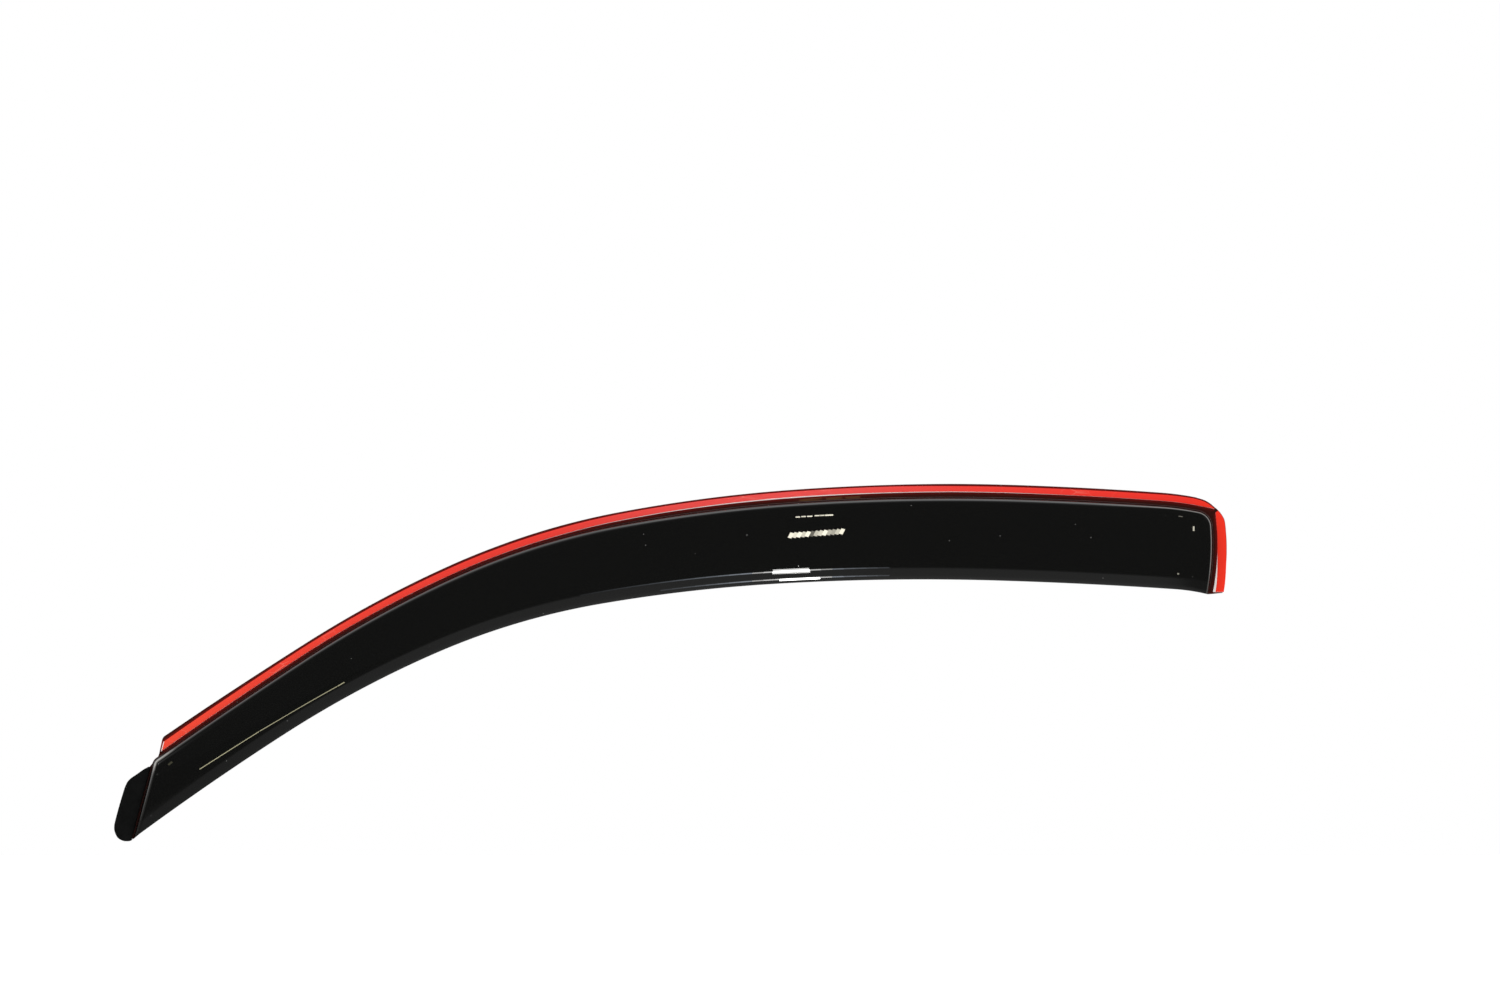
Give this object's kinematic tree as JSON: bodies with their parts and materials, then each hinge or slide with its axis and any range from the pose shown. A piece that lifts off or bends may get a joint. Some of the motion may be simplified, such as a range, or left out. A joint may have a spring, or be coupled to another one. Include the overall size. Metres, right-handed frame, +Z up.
{
  "type": "window rain deflector",
  "caption": "Left front side-window rain deflector: a long curved glossy smoke panel raised on a step over a taped bonding flange, with a folded lower lip and a padded front tab.",
  "frame": {"origin": "on the outer bonding face of the top foam tape, half way along it and on its centre line", "axes": "upright as on the car: +X toward the rear of the car, -Y outward from the door, +Z up"},
  "size_m": [0.9737, 0.0288, 0.3128],
  "materials": {
    "smoke_plastic": "polished dark smoke acrylic",
    "white_foam": "matte closed-cell foam tape",
    "red_film": "satin release film",
    "black_pad": "matte fine-grained rubber"
  },
  "bodies": {
    "root": {"visor_shell": "smoke_plastic", "top_foam_tape": "white_foam", "top_red_liner": "red_film", "rear_foam_tape": "white_foam", "rear_red_liner": "red_film", "front_tab_pad": "black_pad"}
  },
  "joints": []
}
